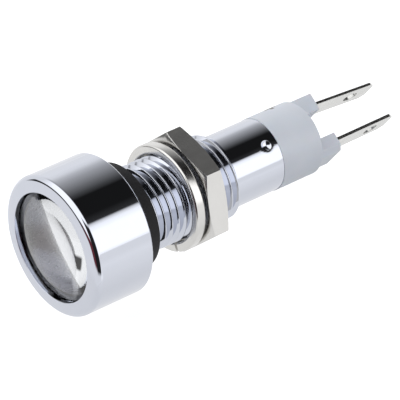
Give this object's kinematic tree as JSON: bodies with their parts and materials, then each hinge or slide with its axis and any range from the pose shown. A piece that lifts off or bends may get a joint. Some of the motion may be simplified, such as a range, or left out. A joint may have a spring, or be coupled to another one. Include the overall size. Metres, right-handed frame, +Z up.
{
  "type": "panel pilot light",
  "caption": "Round metal panel pilot light with a domed clear lens, threaded neck, gasket, spring washer, thin hexagon nut and two flat solder tabs.",
  "frame": {"origin": "on the light's axis, in the plane of the panel's front face, where the gasket seats", "axes": "+Y along the light's axis from the lens to the tabs, with the lens facing -Y and +Z up"},
  "size_m": [0.013, 0.0381, 0.013],
  "materials": {
    "chrome_plate": "polished chrome plate on turned brass",
    "clear_polycarbonate": "clear polished plastic",
    "grey_silicone": "matte",
    "bright_metallised_plastic": "bright metallised",
    "clear_epoxy": "clear cast epoxy",
    "tinned_wire": "bright tin",
    "black_nylon": "moulded, matte",
    "green_laminate": "solder mask on glass laminate",
    "black_ceramic": "matte",
    "red_glass": "glassy",
    "tan_ceramic": "fired ceramic, matte",
    "solder": "bright solder",
    "amber_film": "wound film",
    "white_nylon": "moulded, satin",
    "tinned_brass": "bright tin plate",
    "black_rubber": "matte",
    "nickel_plate": "bright nickel plate"
  },
  "bodies": {
    "light": {"housing": "chrome_plate", "lens": "clear_polycarbonate", "lens_seal": "grey_silicone", "reflector": "bright_metallised_plastic", "led_lamp": "clear_epoxy", "led_anode_lead": "tinned_wire", "led_cathode_lead": "tinned_wire", "led_bush": "black_nylon", "circuit_board": "green_laminate", "resistor": "black_ceramic", "rectifier_diode": "red_glass", "smoothing_capacitor": "tan_ceramic", "lead_solder": "solder", "tail_solder": "solder", "insulating_sleeve": "amber_film", "terminal_insert": "white_nylon", "tab_positive": "tinned_brass", "tab_negative": "tinned_brass", "panel_gasket": "black_rubber"},
    "washer": {"spring_washer": "nickel_plate"},
    "nut": {"hex_nut": "nickel_plate"}
  },
  "joints": [
    {"name": "washer_travel", "type": "slide", "parent": "light", "child": "washer", "axis": [0, 1, 0], "range_m": [-0.00365, 0.0025]},
    {"name": "nut_turn", "type": "hinge", "parent": "washer", "child": "nut", "pos_m": [0, 0, 0], "axis": [0, 1, 0], "range_deg": [-1755, 1203]}
  ],
  "couplings": [
    {"joint": "nut_turn", "follows": "washer_travel", "rad_per_m": 8377.6}
  ]
}
